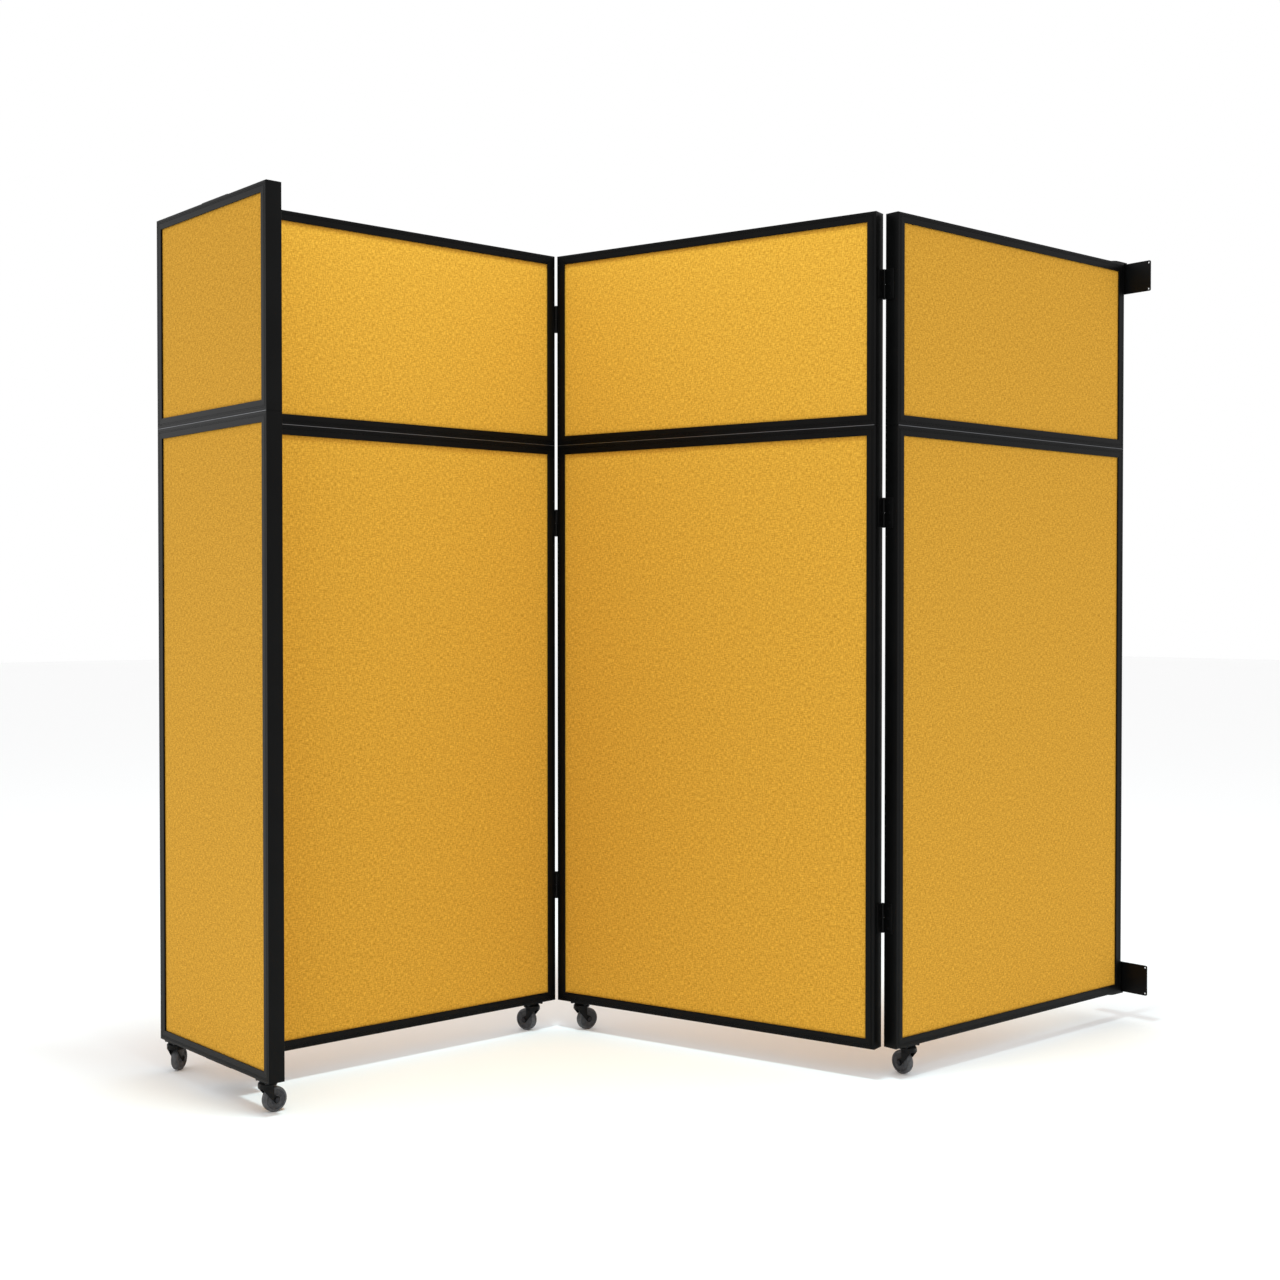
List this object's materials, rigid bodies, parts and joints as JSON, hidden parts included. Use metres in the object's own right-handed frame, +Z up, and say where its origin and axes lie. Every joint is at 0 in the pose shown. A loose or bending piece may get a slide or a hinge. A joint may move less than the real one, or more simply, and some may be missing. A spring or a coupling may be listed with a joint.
{
  "type": "folding room divider",
  "caption": "Wall-hung folding acoustic divider: fabric panels in black frames hinged in a zigzag, on swivel casters, with a narrow T-shaped end panel.",
  "frame": {"origin": "centre of the base of the bounding box, on the floor under the casters", "axes": "+X into the wall that the divider hangs on, -Y the front, +Z up; the wall panel and the outer panel lie along X at rest"},
  "size_m": [2.7318, 1.6232, 2.5343],
  "materials": {
    "black_frame": "black anodised aluminium extrusion, satin",
    "gold_fabric": "woven polyester panel fabric, matte",
    "black_steel": "black powder-coated steel",
    "mill_aluminium": "mill finish",
    "grey_tread": "grey thermoplastic rubber tread, dull",
    "black_zinc_steel": "black zinc-plated steel"
  },
  "bodies": {
    "wall_brackets": {"upper_wall_bracket": "black_steel", "lower_wall_bracket": "black_steel", "upper_wall_pivot": "black_zinc_steel", "lower_wall_pivot": "black_zinc_steel"},
    "wall_panel": {"wall_panel_lower_frame": "black_frame", "wall_panel_upper_frame": "black_frame", "wall_panel_lower_board": "gold_fabric", "wall_panel_upper_board": "gold_fabric", "wall_panel_section_joiner": "mill_aluminium", "wall_fold_top_pin_leaf": "black_steel", "wall_fold_middle_pin_leaf": "black_steel", "wall_fold_bottom_pin_leaf": "black_steel", "wall_panel_caster_plate": "black_steel"},
    "middle_panel": {"middle_panel_lower_frame": "black_frame", "middle_panel_upper_frame": "black_frame", "middle_panel_lower_board": "gold_fabric", "middle_panel_upper_board": "gold_fabric", "middle_panel_section_joiner": "mill_aluminium", "wall_fold_top_socket_leaf": "black_steel", "wall_fold_middle_socket_leaf": "black_steel", "wall_fold_bottom_socket_leaf": "black_steel", "outer_fold_top_pin_leaf": "black_steel", "outer_fold_middle_pin_leaf": "black_steel", "outer_fold_bottom_pin_leaf": "black_steel", "middle_panel_caster_plate": "black_steel"},
    "outer_panel": {"outer_panel_lower_frame": "black_frame", "outer_panel_upper_frame": "black_frame", "outer_panel_lower_board": "gold_fabric", "outer_panel_upper_board": "gold_fabric", "outer_panel_section_joiner": "mill_aluminium", "end_panel_lower_frame": "black_frame", "end_panel_upper_frame": "black_frame", "end_panel_lower_board": "gold_fabric", "end_panel_upper_board": "gold_fabric", "end_panel_section_joiner": "mill_aluminium", "outer_fold_top_socket_leaf": "black_steel", "outer_fold_middle_socket_leaf": "black_steel", "outer_fold_bottom_socket_leaf": "black_steel", "upper_tee_plate": "black_steel", "lower_tee_plate": "black_steel", "outer_panel_caster_plate": "black_steel", "end_panel_back_caster_plate": "black_steel", "end_panel_front_caster_plate": "black_steel"},
    "wall_panel_fork": {"wall_panel_caster_fork": "black_steel", "wall_panel_caster_axle": "black_zinc_steel"},
    "wall_panel_wheel": {"wall_panel_caster_wheel": "grey_tread"},
    "middle_panel_fork": {"middle_panel_caster_fork": "black_steel", "middle_panel_caster_axle": "black_zinc_steel"},
    "middle_panel_wheel": {"middle_panel_caster_wheel": "grey_tread"},
    "outer_panel_fork": {"outer_panel_caster_fork": "black_steel", "outer_panel_caster_axle": "black_zinc_steel"},
    "outer_panel_wheel": {"outer_panel_caster_wheel": "grey_tread"},
    "end_panel_back_fork": {"end_panel_back_caster_fork": "black_steel", "end_panel_back_caster_axle": "black_zinc_steel"},
    "end_panel_back_wheel": {"end_panel_back_caster_wheel": "grey_tread"},
    "end_panel_front_fork": {"end_panel_front_caster_fork": "black_steel", "end_panel_front_caster_axle": "black_zinc_steel"},
    "end_panel_front_wheel": {"end_panel_front_caster_wheel": "grey_tread"}
  },
  "joints": [
    {"name": "wall_pivot", "type": "hinge", "parent": "wall_brackets", "child": "wall_panel", "pos_m": [1.32586, -0.69661, 1.311], "axis": [0, 0, -1], "range_deg": [-75, 75]},
    {"name": "wall_fold", "type": "hinge", "parent": "wall_panel", "child": "middle_panel", "pos_m": [0.19736, -0.66991, 1.311], "axis": [0, 0, 1], "range_deg": [-105, 75]},
    {"name": "outer_fold", "type": "hinge", "parent": "middle_panel", "child": "outer_panel", "pos_m": [-0.15316, 0.43191, 1.311], "axis": [0, 0, -1], "range_deg": [-105, 75]},
    {"name": "wall_panel_swivel", "type": "hinge", "parent": "wall_panel", "child": "wall_panel_fork", "pos_m": [0.27986, -0.69661, 0.08], "axis": [0, 0, 1], "continuous": true},
    {"name": "wall_panel_roll", "type": "hinge", "parent": "wall_panel_fork", "child": "wall_panel_wheel", "pos_m": [0.27986, -0.67661, 0.035], "axis": [1, 0, 0], "continuous": true},
    {"name": "middle_panel_swivel", "type": "hinge", "parent": "middle_panel", "child": "middle_panel_fork", "pos_m": [-0.10602, 0.35913, 0.08], "axis": [0, 0, 1], "continuous": true},
    {"name": "middle_panel_roll", "type": "hinge", "parent": "middle_panel_fork", "child": "middle_panel_wheel", "pos_m": [-0.08621, 0.35635, 0.035], "axis": [-0.1392, -0.9903, 0], "continuous": true},
    {"name": "outer_panel_swivel", "type": "hinge", "parent": "outer_panel", "child": "outer_panel_fork", "pos_m": [-0.23566, 0.45861, 0.08], "axis": [0, 0, 1], "continuous": true},
    {"name": "outer_panel_roll", "type": "hinge", "parent": "outer_panel_fork", "child": "outer_panel_wheel", "pos_m": [-0.24184, 0.47763, 0.035], "axis": [0.9511, 0.309, 0], "continuous": true},
    {"name": "end_panel_back_swivel", "type": "hinge", "parent": "outer_panel", "child": "end_panel_back_fork", "pos_m": [-1.33866, 0.75961, 0.08], "axis": [0, 0, 1], "continuous": true},
    {"name": "end_panel_back_roll", "type": "hinge", "parent": "end_panel_back_fork", "child": "end_panel_back_wheel", "pos_m": [-1.32269, 0.77165, 0.035], "axis": [0.6018, -0.7986, 0], "continuous": true},
    {"name": "end_panel_front_swivel", "type": "hinge", "parent": "outer_panel", "child": "end_panel_front_fork", "pos_m": [-1.33866, 0.20361, 0.08], "axis": [0, 0, 1], "continuous": true},
    {"name": "end_panel_front_roll", "type": "hinge", "parent": "end_panel_front_fork", "child": "end_panel_front_wheel", "pos_m": [-1.31866, 0.20361, 0.035], "axis": [0, -1, 0], "continuous": true}
  ],
  "couplings": [
    {"joint": "outer_fold", "follows": "wall_fold", "ratio": 1}
  ]
}
